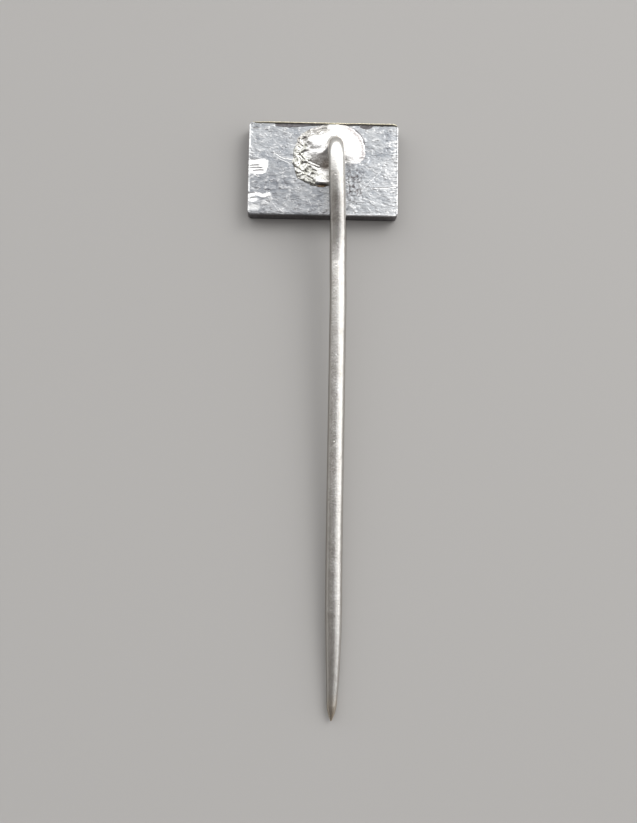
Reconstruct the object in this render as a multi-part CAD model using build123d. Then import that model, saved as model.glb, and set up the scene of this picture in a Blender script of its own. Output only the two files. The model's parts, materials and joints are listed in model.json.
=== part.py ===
"""Tie tack of the stick-pin kind: a small struck plate with hard enamel on its front and a pin wire soldered to its back.

Millimetres. The tack lies face down: the plate's front rests on Z = 0 and its back faces +Z.
+Y points to the plate's top edge. The wire stands on the back, bends over and runs towards -Y. It is level at
first, then falls quickly from a soft shoulder, and a slight kink past the plate's edge eases it into a long
shank, whose point nearly reaches the surface that the plate lies on. The origin is the middle of the plate's
front face.
"""

import os
from math import radians, tan

from build123d import *

# Plate, struck from sheet and trimmed with a little draft, so its front is the larger face
PLATE_WIDTH = 12.0
PLATE_HEIGHT = 7.6
PLATE_THICKNESS = 1.4
PLATE_CORNER = 0.3
TRIM_DRAFT = 1.5
FRONT_EDGE_ROUND = 0.12
BACK_EDGE_ROUND = 0.06

# Front: a raised rim and slanting raised lines part the recessed cells that hold the enamel
RIM = 0.5
CELL_DEPTH = 0.45
LINE_WIDTH = 0.3
LINE_SLANT = 120.0
BAND_WIDTH = 2.0
STRIPE_WIDTH = 0.8
CELL_LENGTH = 2 * PLATE_WIDTH

# Pin wire, whose foot stands on the plate's back inside the solder
WIRE_DIAMETER = 1.3
FOOT = (0.95, 1.5)
CORNER_HEIGHT = 2.65
BEND_RADIUS = 1.5
SHOULDER_Y = -1.5
SHOULDER_FALL = 0.05
SHOULDER_RADIUS = 12.0
RUN_SLOPE = 14.5
KINK_OFFSET = 0.3
KINK_Y = -6.5
KINK_RADIUS = 14.0
TIP_Y = -43.2
TIP_HEIGHT = 0.34

# Ground point: a long taper, then a short rounded nose
TAPER_LENGTH = 8.2
NOSE_LENGTH = 1.2
NOSE_DIAMETER = 0.78
NOSE_BULGE = 0.08
TIP_RADIUS = 0.07

# Solder: a thin oval puddle on the plate and a hollow-sided cone that climbs the wire's foot
PUDDLE_CENTRE = (0.35, 1.1)
PUDDLE_RADII = (2.85, 2.6)
PUDDLE_THICKNESS = 0.14
PUDDLE_ROUND = 0.08
CONE_RADIUS = 1.95
CONE_HEIGHT = 1.05
CONE_HOLLOW = 0.2

WIRE_RADIUS = WIRE_DIAMETER / 2


def wire_corners():
    """The corners of the wire's centreline: foot, top of the bend, shoulder, kink past the plate's edge, and tip."""
    foot_x, foot_y = FOOT
    top_z = PLATE_THICKNESS + CORNER_HEIGHT
    shoulder_z = top_z - SHOULDER_FALL
    shoulder_x = foot_x + KINK_OFFSET * (foot_y - SHOULDER_Y) / (foot_y - KINK_Y)
    run_fall = (SHOULDER_Y - KINK_Y) * tan(radians(RUN_SLOPE))
    foot = Vector(foot_x, foot_y, PLATE_THICKNESS)
    bend = Vector(foot_x, foot_y, top_z)
    shoulder = Vector(shoulder_x, SHOULDER_Y, shoulder_z)
    kink = Vector(foot_x + KINK_OFFSET, KINK_Y, shoulder_z - run_fall)
    tip = Vector(foot_x + KINK_OFFSET, TIP_Y, TIP_HEIGHT)
    return foot, bend, shoulder, kink, tip


def rod(start, end, radius):
    """A round rod between two points."""
    along = end - start
    return Solid.make_cylinder(radius, along.length, Plane(start, z_dir=along))


def elbow(before, corner, after, radius):
    """The bent stretch of wire at a corner, with the points where it meets the two straight runs."""
    incoming = (corner - before).normalized()
    outgoing = (after - corner).normalized()
    turn = incoming.get_angle(outgoing)
    reach = radius * tan(radians(turn / 2))
    start = corner - incoming * reach
    end = corner + outgoing * reach
    axle = incoming.cross(outgoing).normalized()
    inward = axle.cross(incoming)
    section = Plane(start, z_dir=incoming) * Circle(WIRE_RADIUS)
    bent = revolve(section, Axis(start + inward * radius, axle), revolution_arc=turn)
    return bent, start, end


def point(start, tip):
    """The ground point of the wire, turned about the line from the taper's start to the tip."""
    along = tip - start
    length = along.length
    shoulder = length - NOSE_LENGTH
    half_nose = NOSE_DIAMETER / 2
    middle = ((shoulder + length) / 2, (half_nose + TIP_RADIUS) / 2 + NOSE_BULGE)
    outline = (
        Polyline((0, 0), (0, WIRE_RADIUS), (shoulder, half_nose))
        + ThreePointArc((shoulder, half_nose), middle, (length - TIP_RADIUS, TIP_RADIUS))
        + RadiusArc((length - TIP_RADIUS, TIP_RADIUS), (length, 0), TIP_RADIUS)
        + Line((length, 0), (0, 0))
    )
    turned = revolve(make_face(outline), Axis.X)
    return Plane(start, x_dir=along, z_dir=along.cross(Vector(1, 0, 0))) * turned


def pin_wire():
    """One bent wire: foot, bend, level stretch, shoulder, short run, slight kink, long shank and ground point."""
    corners = wire_corners()
    radii = (BEND_RADIUS, SHOULDER_RADIUS, KINK_RADIUS)
    pieces = []
    start = corners[0]
    for before, corner, after, radius in zip(corners, corners[1:], corners[2:], radii):
        bent, bend_start, bend_end = elbow(before, corner, after, radius)
        pieces += [rod(start, bend_start, WIRE_RADIUS), bent]
        start = bend_end
    kink, tip = corners[-2:]
    shank_end = tip - (tip - kink).normalized() * TAPER_LENGTH
    pieces += [rod(start, shank_end, WIRE_RADIUS), point(shank_end, tip)]
    return Part() + pieces


def cells():
    """The recessed cells on the front, by name: slanting strips cut to the field inside the rim."""
    field = Rectangle(PLATE_WIDTH - 2 * RIM, PLATE_HEIGHT - 2 * RIM)
    stripe_start = BAND_WIDTH / 2 + LINE_WIDTH
    corner_start = stripe_start + STRIPE_WIDTH + LINE_WIDTH
    corner_width = PLATE_WIDTH
    strips = {"band": (0, BAND_WIDTH)}
    for side, sign in (("left", 1), ("right", -1)):
        strips["stripe_" + side] = (sign * (stripe_start + STRIPE_WIDTH / 2), STRIPE_WIDTH)
        strips["corner_" + side] = (sign * (corner_start + corner_width / 2), corner_width)
    turn = Rot(0, 0, LINE_SLANT)
    return {
        name: extrude(field & turn * Pos(0, offset) * Rectangle(CELL_LENGTH, width), amount=CELL_DEPTH)
        for name, (offset, width) in strips.items()
    }


def badge_plate(cell_solids):
    """The struck plate with its draft, rounded edges and empty cells."""
    outline = RectangleRounded(PLATE_WIDTH, PLATE_HEIGHT, PLATE_CORNER)
    plate = extrude(outline, amount=PLATE_THICKNESS, taper=TRIM_DRAFT)
    plate = fillet(plate.faces().sort_by(Axis.Z)[-1].edges(), BACK_EDGE_ROUND)
    plate = fillet(plate.faces().sort_by(Axis.Z)[0].edges(), FRONT_EDGE_ROUND)
    return plate - list(cell_solids)


def solder_joint(wire):
    """The solder: an oval puddle with a soft edge, and a cone with hollow sides about the foot."""
    puddle = extrude(Ellipse(*PUDDLE_RADII), amount=PUDDLE_THICKNESS)
    puddle = fillet(puddle.faces().sort_by(Axis.Z)[-1].edges(), PUDDLE_ROUND)
    brim = Vector(CONE_RADIUS, PUDDLE_THICKNESS)
    collar = Vector(WIRE_RADIUS, CONE_HEIGHT)
    downward = Vector(brim.Y - collar.Y, collar.X - brim.X).normalized()
    outline = (
        Polyline(collar, (0, CONE_HEIGHT), (0, 0), (CONE_RADIUS, 0), brim)
        + ThreePointArc(brim, (brim + collar) / 2 + downward * CONE_HOLLOW, collar)
    )
    cone = revolve(Plane.XZ * make_face(outline), Axis.Z)
    joint = Pos(*PUDDLE_CENTRE, PLATE_THICKNESS) * puddle + Pos(*FOOT, PLATE_THICKNESS) * cone
    return joint - wire


def main():
    """Writes each part to parts/NODE.step."""
    cell_solids = cells()
    wire = pin_wire()
    parts = {
        "badge_plate": badge_plate(cell_solids.values()),
        "pin_wire": wire,
        "solder_joint": solder_joint(wire),
    }
    parts.update({"enamel_" + name: solid for name, solid in cell_solids.items()})
    os.makedirs("parts", exist_ok=True)
    for node, solid in parts.items():
        export_step(solid, f"parts/{node}.step")


main()
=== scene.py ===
"""The looks of a tie tack lying face down: struck plate, solder joint, bent pin wire and enamelled front.

Shapes are worked out in millimetres and scaled to metres at the end. +Z points out of the plate's back, +Y to
its top edge, and the pin runs towards -Y.
"""

import json
import math

import bpy
import numpy as np
from mathutils import Euler, Matrix, Vector


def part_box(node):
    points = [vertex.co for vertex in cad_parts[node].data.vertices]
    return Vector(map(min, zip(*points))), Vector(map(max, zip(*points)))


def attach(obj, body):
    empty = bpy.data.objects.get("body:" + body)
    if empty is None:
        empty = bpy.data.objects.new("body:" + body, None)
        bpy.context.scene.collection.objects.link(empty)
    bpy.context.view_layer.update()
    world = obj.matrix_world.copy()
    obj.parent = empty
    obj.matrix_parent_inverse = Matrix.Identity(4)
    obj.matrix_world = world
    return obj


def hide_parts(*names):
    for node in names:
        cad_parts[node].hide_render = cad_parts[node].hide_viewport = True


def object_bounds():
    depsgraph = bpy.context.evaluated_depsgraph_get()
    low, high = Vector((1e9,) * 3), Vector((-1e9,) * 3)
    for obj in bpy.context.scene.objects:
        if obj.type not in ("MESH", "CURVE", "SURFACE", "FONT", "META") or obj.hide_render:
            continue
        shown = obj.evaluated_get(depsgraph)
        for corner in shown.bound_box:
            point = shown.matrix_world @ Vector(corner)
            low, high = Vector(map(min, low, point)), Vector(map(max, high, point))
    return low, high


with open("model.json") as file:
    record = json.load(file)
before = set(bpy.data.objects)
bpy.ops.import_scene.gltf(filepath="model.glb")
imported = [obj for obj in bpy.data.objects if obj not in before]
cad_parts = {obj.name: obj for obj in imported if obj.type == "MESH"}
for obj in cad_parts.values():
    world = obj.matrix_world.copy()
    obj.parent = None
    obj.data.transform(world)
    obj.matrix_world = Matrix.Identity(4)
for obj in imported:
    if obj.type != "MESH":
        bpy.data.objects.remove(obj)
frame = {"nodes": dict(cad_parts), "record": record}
CAD_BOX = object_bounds()

MM = 0.001
BODY = "root"


# ---- the frame, in millimetres

def box_mm(node):
    """The low and high corners of a CAD node's box."""
    low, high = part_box(node)
    return np.array(low) / MM, np.array(high) / MM


HALF_WIDTH, HALF_HEIGHT, BACK = box_mm("badge_plate")[1]
WIRE_LOW, WIRE_HIGH = box_mm("pin_wire")

SHANK = next(m for m in frame["record"]["mounts"] if m["name"] == "shank")
WIRE_RADIUS = SHANK["dims"]["r_mm"]
SHANK_AXIS = np.array(SHANK["axis"])
SHANK_MIDDLE = np.array(SHANK["pos_m"]) / MM
SHANK_START = SHANK_MIDDLE - SHANK_AXIS * SHANK["dims"]["length_mm"] / 2
SHANK_END = SHANK_MIDDLE + SHANK_AXIS * SHANK["dims"]["length_mm"] / 2
FOOT = np.array([WIRE_LOW[0] + WIRE_RADIUS, WIRE_HIGH[1] - WIRE_RADIUS, BACK])


# ---- noise and small maths

SEED_STEP = 17


def hashed(ix, iy, seed):
    """A repeatable random number from 0 to 1 for each pair of whole numbers, stirred with large primes."""
    n = (ix * 374761393 + iy * 668265263 + seed * 2147483647) & 0xFFFFFFFF
    n = ((n ^ (n >> 13)) * 1274126177) & 0xFFFFFFFF
    return ((n ^ (n >> 16)) & 0xFFFF) / 65535.0


def noise2(x, y, seed=0):
    """Smooth gradient noise from about -1 to 1, with features one unit across."""
    ix, iy = np.floor(x).astype(np.int64), np.floor(y).astype(np.int64)
    fx, fy = x - ix, y - iy
    ux, uy = fx**3 * (fx * (fx * 6 - 15) + 10), fy**3 * (fy * (fy * 6 - 15) + 10)
    corner = {}
    for dx in (0, 1):
        for dy in (0, 1):
            angle = hashed(ix + dx, iy + dy, seed) * 2 * math.pi
            corner[dx, dy] = np.cos(angle) * (fx - dx) + np.sin(angle) * (fy - dy)
    low = corner[0, 0] * (1 - ux) + corner[1, 0] * ux
    high = corner[0, 1] * (1 - ux) + corner[1, 1] * ux
    return (low * (1 - uy) + high * uy) * 1.5


def fractal(x, y, seed=0, octaves=4, gain=0.5):
    """Noise with finer and fainter noise added, each octave half the size of the one before."""
    total = np.zeros_like(x, dtype=float)
    for octave in range(octaves):
        total += gain**octave * noise2(x * 2**octave, y * 2**octave, seed + octave * SEED_STEP)
    return total


def smooth(low, high, value):
    """Eases from 0 at low to 1 at high. Low may be the larger of the two."""
    t = np.clip((value - low) / (high - low), 0, 1)
    return t * t * (3 - 2 * t)


def window(value, start, full, fading, end):
    """Eases from 0 at start to 1 at full, and from 1 at fading back to 0 at end."""
    return smooth(start, full, value) * smooth(end, fading, value)


def bell(distance, width):
    """1 at no distance, and about a third at the width."""
    return np.exp(-((distance / width) ** 2))


def in_oval(x, y, centre, radii):
    """How far out each point lies in an oval: 0 in its middle and 1 on its rim."""
    return np.hypot((x - centre[0]) / radii[0], (y - centre[1]) / radii[1])


def to_line(x, y, a, b):
    """Distance from each point to the straight line between a and b."""
    ab = np.subtract(b, a)
    t = np.clip(((x - a[0]) * ab[0] + (y - a[1]) * ab[1]) / (ab @ ab), 0, 1)
    return np.hypot(x - a[0] - t * ab[0], y - a[1] - t * ab[1])


def from_foot(x, y):
    """Each point's offset in X and Y from the wire's foot, its distance, and its bearing from +X to +Y."""
    dx, dy = x - FOOT[0], y - FOOT[1]
    return dx, dy, np.hypot(dx, dy), np.degrees(np.arctan2(dy, dx)) % 360


# ---- mesh helpers

def new_object(name, mesh):
    obj = bpy.data.objects.new(name, mesh)
    bpy.context.scene.collection.objects.link(obj)
    return obj


def shade_smooth(mesh):
    mesh.polygons.foreach_set("use_smooth", [True] * len(mesh.polygons))


def ringed_object(name, rings, first, last):
    """A closed smooth mesh: rings of points in millimetres, and a fan of triangles to a point at each end."""
    count, sides = rings.shape[:2]
    index = np.arange(count * sides).reshape(count, sides)
    after = np.roll(index, -1, axis=1)
    faces = np.stack([index[:-1], after[:-1], after[1:], index[1:]], -1).reshape(-1, 4).tolist()
    for k, ring in enumerate((index[0][::-1], index[-1])):
        faces += np.stack([ring, np.roll(ring, -1), np.full(sides, index.size + k)], -1).tolist()
    mesh = bpy.data.meshes.new(name)
    mesh.from_pydata((np.vstack([rings.reshape(-1, 3), [first], [last]]) * MM).tolist(), [], faces)
    shade_smooth(mesh)
    mesh.update()
    return new_object(name, mesh)


def coordinates(mesh):
    co = np.empty(len(mesh.vertices) * 3, np.float32)
    mesh.vertices.foreach_get("co", co)
    return co.reshape(-1, 3).astype(float)


def cad_copy(node, name):
    """A new object with a copy of a CAD node's mesh, in millimetres."""
    mesh = frame["nodes"][node].data.copy()
    mesh.transform(Matrix.Scale(1 / MM, 4))
    return new_object(name, mesh)


def modified_mesh(obj):
    """The mesh that an object's modifiers make of it."""
    return bpy.data.meshes.new_from_object(obj.evaluated_get(bpy.context.evaluated_depsgraph_get()))


def fine_copy(node, name, voxel):
    """A copy of a CAD node as an even fine mesh, still in millimetres. voxel is its grid in millimetres."""
    rough = cad_copy(node, name + "_rough")
    remesh = rough.modifiers.new("remesh", "REMESH")
    remesh.mode = "VOXEL"
    remesh.voxel_size = voxel
    remesh.use_smooth_shade = True
    fine = modified_mesh(rough)
    bpy.data.objects.remove(rough)
    fine.materials.clear()
    return new_object(name, fine)


def set_attribute(mesh, name, values):
    attribute = mesh.attributes.new(name, "FLOAT", "POINT")
    attribute.data.foreach_set("value", values.astype(np.float32))


def finish_piece(obj, slot, material, *nodes):
    """Gives a piece its material and its body, and hides the CAD nodes that it stands for."""
    obj.data.materials.clear()
    obj.data.materials.append(material)
    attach(obj, BODY)
    if nodes:
        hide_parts(*nodes)


# ---- material helpers

class Nodes:
    """A few words for building a tree of nodes."""

    def __init__(self, tree):
        self.nodes, self.links = tree.nodes, tree.links

    def add(self, kind, inputs=None, **settings):
        node = self.nodes.new(kind)
        for key, value in settings.items():
            setattr(node, key, value)
        for key, value in (inputs or {}).items():
            self.put(value, node.inputs[key])
        return node

    def put(self, value, socket):
        """Links a socket to another, or gives it a plain value. A colour may have three numbers."""
        if isinstance(value, bpy.types.NodeSocket):
            self.links.new(value, socket)
        elif socket.type == "RGBA" and len(value) == 3:
            socket.default_value = (*value, 1)
        else:
            socket.default_value = value

    def ramp(self, value, stops, interpolation="LINEAR"):
        """A colour for a value from 0 to 1, from stops of a position and a colour."""
        node = self.add("ShaderNodeValToRGB", {"Fac": value})
        node.color_ramp.interpolation = interpolation
        elements = node.color_ramp.elements
        while len(elements) < len(stops):
            elements.new(0.5)
        for element, (position, colour) in zip(elements, stops):
            element.position = position
            element.color = (*colour, 1)
        return node.outputs["Color"]

    def mix(self, factor, a, b, blend="MIX"):
        """From colour a where the factor is 0 to colour b, or to their blend, where it is 1."""
        node = self.add("ShaderNodeMix", data_type="RGBA", blend_type=blend)
        for name, value in (("Factor", factor), ("A", a), ("B", b)):
            self.put(value, node.inputs[name])
        return node.outputs["Result"]

    def maths(self, operation, *values):
        return self.add("ShaderNodeMath", dict(enumerate(values)), operation=operation).outputs[0]

    def times(self, a, b):
        return self.maths("MULTIPLY", a, b)

    def plus(self, a, b):
        return self.maths("ADD", a, b)


class Shader(Nodes):
    """A material's nodes."""

    def __init__(self, name):
        self.material = bpy.data.materials.new(name)
        self.material.use_nodes = True
        super().__init__(self.material.node_tree)
        self.surface = self.nodes["Principled BSDF"]
        self.place = self.add("ShaderNodeTexCoord").outputs["Object"]

    def stretched(self, scale, degrees=0):
        """Object coordinates in millimetres, stretched by a scale for each axis and turned about Z."""
        mapping = self.add("ShaderNodeMapping", {"Vector": self.place})
        mapping.inputs["Scale"].default_value = [s / MM for s in scale]
        mapping.inputs["Rotation"].default_value = (0, 0, math.radians(degrees))
        return mapping.outputs["Vector"]

    def noise(self, vector, scale=1.0, detail=3, roughness=0.6, distortion=0.0):
        node = self.add("ShaderNodeTexNoise", {"Vector": vector, "Scale": scale, "Detail": detail,
                                               "Roughness": roughness, "Distortion": distortion})
        return node.outputs["Fac"]

    def between(self, value, low, high, to_low, to_high):
        """Maps the range from low to high onto the one from to_low to to_high."""
        node = self.add("ShaderNodeMapRange", {"Value": value, "From Min": low, "From Max": high,
                                               "To Min": to_low, "To Max": to_high})
        return node.outputs["Result"]

    def attribute(self, name):
        return self.add("ShaderNodeAttribute", attribute_name=name).outputs["Fac"]

    def bump(self, height, distance_mm, strength=1.0):
        settings = {"Height": height, "Strength": strength, "Distance": distance_mm * MM}
        self.links.new(self.add("ShaderNodeBump", settings).outputs["Normal"], self.surface.inputs["Normal"])

    def set(self, **values):
        for key, value in values.items():
            self.put(value, self.surface.inputs[key.replace("_", " ")])


# ---- the wire

# The centreline as in the CAD: foot, bend, soft shoulder, short falling run, slight kink and long shank
BEND_RADIUS = 1.5
SHOULDER_Y = -1.5
SHOULDER_FALL = 0.02
SHOULDER_RADIUS = 11.0
RUN_SLOPE = 14.5
KINK_RADIUS = 14.0
KINK_REACH = 1.349
BEND_POINTS, SHOULDER_POINTS, KINK_POINTS, SHANK_POINTS = 60, 30, 40, 300

# Where a real wire strays from it: a lifted shoulder, a bow up past the kink, and two drifts sideways
SHOULDER_LIFT = 0.09
BOW_UP = 0.09
BOW_REACH = 4.3
BOW_SIDE = 0.05
BOW_SIDE_REACH = 3.0
TIP_SIDE = 0.055
TIP_SIDE_RANGE = (14.0, 6.0)
TIP_FADE_RANGE = (-1.5, 4.0)

# Ground point: a long, slightly full taper and a short rounded nose
TAPER_LENGTH = 8.2
TAPER_BULGE = 0.035
NOSE_LENGTH = 1.2
NOSE_RADIUS = 0.39
NOSE_BULGE = 0.045
TIP_RADIUS = 0.07

# The wire's rings: sides to a ring, and gaps between rings within each distance of the tip or the foot
WIRE_SIDES = 64
TIP_ZONE, TIP_GAP = 0.15, 0.012
NOSE_ZONE, NOSE_GAP = NOSE_LENGTH + 0.3, 0.04
BEND_ZONE, BEND_GAP = 5.0, 0.055
SHANK_GAP = 0.08
LAST_GAP = 0.004
SHORTEST_REST = 0.01

NICKEL = [(0.34, (0.575, 0.55, 0.515)), (0.52, (0.69, 0.67, 0.64)), (0.7, (0.76, 0.75, 0.725))]


def unit(vector):
    """A vector, or each of a row of vectors, made one long."""
    return vector / np.linalg.norm(vector, axis=-1, keepdims=True)


def arc_points(corner, before, after, radius, count):
    """Points on the arc that rounds a corner between two straight runs."""
    a, b = unit(corner - before), unit(after - corner)
    turn = math.acos(np.clip(a @ b, -1, 1))
    inward = unit(b - a * math.cos(turn))
    start = corner - a * radius * math.tan(turn / 2)
    angle = np.linspace(0, turn, count)[:, None]
    return start + radius * (np.sin(angle) * a + (1 - np.cos(angle)) * inward)


def wire_path():
    """Close points along the wire's centreline, from the foot to the tip."""
    tip = SHANK_END + SHANK_AXIS * TAPER_LENGTH
    kink = SHANK_START - SHANK_AXIS * KINK_REACH
    rise = math.tan(math.radians(RUN_SLOPE)) * (SHOULDER_Y - kink[1]) + SHOULDER_LIFT
    across = (kink[0] - FOOT[0]) * (FOOT[1] - SHOULDER_Y) / (FOOT[1] - kink[1])
    shoulder = np.array([FOOT[0] + across, SHOULDER_Y, kink[2] + rise])
    corner = np.array([FOOT[0], FOOT[1], shoulder[2] + SHOULDER_FALL])
    bend = arc_points(corner, FOOT, shoulder, BEND_RADIUS, BEND_POINTS)
    soft = arc_points(shoulder, corner, kink, SHOULDER_RADIUS, SHOULDER_POINTS)
    easing = arc_points(kink, shoulder, tip, KINK_RADIUS, KINK_POINTS)
    straight = np.linspace(SHANK_START, tip, SHANK_POINTS)[1:]
    path = np.vstack([FOOT[None], bend, soft, easing[:-1], straight])
    past_kink = np.clip((SHANK_START - path) @ -SHANK_AXIS, 0, None)
    to_tip = np.clip((tip - path) @ SHANK_AXIS, 0, None)
    path[:, 2] += BOW_UP * past_kink / BOW_REACH * np.exp(1 - past_kink / BOW_REACH)
    drift = BOW_SIDE * smooth(0, BOW_SIDE_REACH, past_kink) + TIP_SIDE * smooth(*TIP_SIDE_RANGE, to_tip)
    path[:, 0] += drift * smooth(*TIP_FADE_RANGE, to_tip)
    return path


def ring_gap(at, length):
    """The gap to the next ring: smallest by the tip, small at the nose and the bend."""
    left = length - at
    if left < TIP_ZONE:
        return TIP_GAP
    if left < NOSE_ZONE:
        return NOSE_GAP
    return BEND_GAP if at < BEND_ZONE else SHANK_GAP


def wire_rows(length):
    """The distance along the wire of each ring."""
    places = [0.0]
    while places[-1] < length - SHORTEST_REST:
        places.append(min(places[-1] + ring_gap(places[-1], length), length - LAST_GAP))
    return np.array(places)


def wire_radius(left):
    """The wire's radius at a distance from its tip: full, then the long taper, then the nose."""
    ground = np.clip((left - NOSE_LENGTH) / (TAPER_LENGTH - NOSE_LENGTH), 0, 1)
    taper = NOSE_RADIUS + (WIRE_RADIUS - NOSE_RADIUS) * ground + 4 * TAPER_BULGE * ground * (1 - ground)
    t = np.clip((left - TIP_RADIUS) / (NOSE_LENGTH - TIP_RADIUS), 0, 1)
    nose = TIP_RADIUS + (NOSE_RADIUS - TIP_RADIUS) * t + 4 * NOSE_BULGE * t * (1 - t)
    cap_radius = np.sqrt(np.clip(TIP_RADIUS**2 - (TIP_RADIUS - np.minimum(left, TIP_RADIUS)) ** 2, 0, None))
    return np.where(left < TIP_RADIUS, cap_radius, np.where(left < NOSE_LENGTH, nose, taper))


def make_wire():
    """The wire as rings along its path, with faint nicks and dents in its skin."""
    path = wire_path()
    along = np.concatenate([[0], np.cumsum(np.linalg.norm(np.diff(path, axis=0), axis=1))])
    length = along[-1]
    rows = wire_rows(length)
    centre = np.stack([np.interp(rows, along, path[:, k]) for k in range(3)], -1)
    tangent = unit(np.gradient(centre, rows, axis=0))
    sideways = unit(np.array([1.0, 0, 0]) - tangent * tangent[:, :1])
    outward = np.cross(sideways, tangent)
    outward *= np.sign(outward[len(rows) // 2, 2])

    angle, s = np.meshgrid(np.linspace(0, 2 * math.pi, WIRE_SIDES, endpoint=False), rows)
    u, v = np.cos(angle) * WIRE_RADIUS, np.sin(angle) * WIRE_RADIUS
    nicks = 0.002 * fractal(u * 2.2 + s * 0.9, v * 2.2 - s * 0.7, 5, 3)
    dents = 0.006 * smooth(0.55, 0.95, fractal(s * 1.3 + u, v * 1.7 + 9, 31, 3))
    radius = wire_radius(length - s) + smooth(0.05, 0.5, length - s) * (nicks - dents)
    points = centre[:, None] + radius[..., None] * (
        np.cos(angle)[..., None] * sideways[:, None] + np.sin(angle)[..., None] * outward[:, None])
    obj = ringed_object("pin_wire_drawn", points, path[0], path[-1])

    straight = np.vstack([np.stack([u, s, v], -1).reshape(-1, 3), [[0, 0, 0]], [[0, length, 0]]])
    drawn = obj.data.attributes.new("drawn", "FLOAT_VECTOR", "POINT")
    drawn.data.foreach_set("vector", straight.astype(np.float32).ravel())
    set_attribute(obj.data, "left", length - straight[:, 1])
    finish_piece(obj, "wire", wire_material(), "pin_wire")


def wire_material():
    """Nickel: bright nicks, a brassy point, a tinned foot and bend that is brightened further as a painted
    reflection, and a painted shade on the left flank. Places are read on the wire made straight, with X
    across it and Y along it from the foot."""
    m = Shader("wire_nickel")
    drawn = m.add("ShaderNodeAttribute", attribute_name="drawn").outputs["Vector"]
    across = m.add("ShaderNodeSeparateXYZ", {"Vector": drawn}).outputs
    lines = m.add("ShaderNodeMapping", {"Vector": drawn, "Scale": (11, 0.5, 11)}).outputs["Vector"]
    streaked = m.noise(lines, detail=4)
    grain = m.noise(drawn, 6.0, detail=4, roughness=0.62)
    patches = m.noise(drawn, 1.1, detail=4, roughness=0.62)

    specks = m.add("ShaderNodeTexVoronoi", {"Vector": drawn, "Scale": 1.9, "Randomness": 1.0}).outputs
    lot = m.add("ShaderNodeSeparateColor", {"Color": specks["Color"]}).outputs["Red"]
    near = m.between(specks["Distance"], 0.04, 0.15, 1.0, 0.0)
    nick = m.times(near, m.maths("GREATER_THAN", lot, 0.72))
    spot = m.times(near, m.maths("LESS_THAN", lot, 0.12))

    plain = m.ramp(m.plus(m.times(streaked, 0.4), m.times(patches, 0.6)), NICKEL)
    nicked = m.mix(nick, plain, (0.9, 0.88, 0.85))
    spotted = m.mix(m.times(spot, 0.7), nicked, (0.24, 0.22, 0.17))
    pointed = m.mix(m.between(m.attribute("left"), 0.2, 2.2, 0.5, 0.0), spotted, (0.72, 0.56, 0.34))
    # tinned foot and bend: solder-wetted metal, made brighter still as a painted reflection on the back of
    # the bend
    tinned_and_sheen = m.mix(m.between(across["Y"], 3.0, 4.6, 0.85, 0.0), pointed, (0.95, 0.94, 0.92))
    # painted shade: the left flank, on the side away from the light, is darkened in its colour
    painted_shade_left = m.mix(m.between(across["X"], -0.64, -0.46, 0.72, 0.0), tinned_and_sheen, (0.3, 0.285, 0.255))
    m.set(Base_Color=painted_shade_left, Metallic=1.0, Roughness=m.between(patches, 0.3, 0.7, 0.17, 0.27))
    m.set(Specular_Tint=(0.7, 0.68, 0.66))
    height = m.plus(m.times(streaked, 0.45), m.times(grain, 0.9))
    m.bump(m.maths("SUBTRACT", height, m.times(nick, 0.9)), 0.016)
    return m.material


# ---- the plate

DRAFT = math.tan(math.radians(0.8))
CORNER = 0.3
BACK_ROUND = 0.05
FRONT_ROUND = 0.12
GRID = 0.04
FIELD_X = HALF_WIDTH - BACK * DRAFT - BACK_ROUND
FIELD_Y = HALF_HEIGHT - BACK * DRAFT - BACK_ROUND
TOP_EDGE = FIELD_Y + BACK_ROUND

# The rings of the walls: angles round the back's and the front's edges, and rows down the flat between them
BACK_ROUND_ANGLES = (25, 50, 75, 90)
FRONT_ROUND_ANGLES = (20, 40, 60, 80, 90)
WALL_TOP = BACK - 0.14
WALL_ROWS = 13
SHARP_ANGLE = 55

# Scratches on the back: start, end, width and strength, in millimetres from the middle of the plate
SCRATCHES = [
    ((-3.95, 1.26), (-3.2, 0.89), 0.035, 1.0),
    ((-3.2, 0.89), (-2.35, 0.71), 0.035, 1.0),
    ((-3.67, 0.92), (-3.0, 0.55), 0.03, 0.9),
    ((-3.0, 0.55), (-2.4, 0.42), 0.03, 0.9),
    ((-4.48, -2.0), (-4.1, -2.8), 0.03, 0.75),
    ((-3.98, -2.8), (-3.5, -3.5), 0.026, 0.6),
    ((-3.45, -3.35), (-3.0, -3.65), 0.028, 0.7),
    ((-5.93, 3.32), (-4.35, 3.3), 0.024, 0.55),
    ((-3.66, 3.28), (-2.89, 2.89), 0.024, 0.55),
    ((-3.8, 3.36), (-3.4, 3.1), 0.02, 0.4),
    ((-4.06, 2.32), (-3.25, 1.74), 0.022, 0.5),
    ((-4.95, 2.55), (-4.3, 2.35), 0.022, 0.45),
    ((-5.9, 1.75), (-5.5, 2.05), 0.022, 0.45),
    ((-5.85, -0.1), (-5.25, -0.75), 0.045, 0.9),
    ((-5.9, 2.75), (-5.35, 2.35), 0.028, 0.6),
    ((-5.5, 2.6), (-5.35, 2.0), 0.025, 0.4),
    ((-5.9, 1.9), (-5.5, 1.3), 0.026, 0.45),
    ((4.7, 0.0), (3.4, -1.35), 0.028, 0.5),
    ((3.4, -1.35), (2.75, -2.15), 0.03, 0.6),
    ((3.9, -1.55), (5.85, -1.35), 0.04, 0.8),
    ((3.3, -2.35), (4.2, -2.65), 0.035, 0.7),
]

# Short dashes strewn over the back, which lean down to the right up to DASH_TURN_X and lie level past it
DASHES = 420
DASH_SEED = 11
DASH_FIELD_X, DASH_FIELD_Y = (-5.9, 5.9), (-3.7, 3.7)
DASH_TURN_X = 0.5
LEFT_LEAN, RIGHT_LEAN, LEAN_SPREAD = -22, 4, 16
DASH_REACH, DASH_WIDTH, DASH_STRENGTH = (0.05, 0.2), (0.014, 0.03), (0.25, 1.0)
DASH_HEIGHTS = [-0.012, 0.01]
DASH_NEARBY = 0.5

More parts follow.
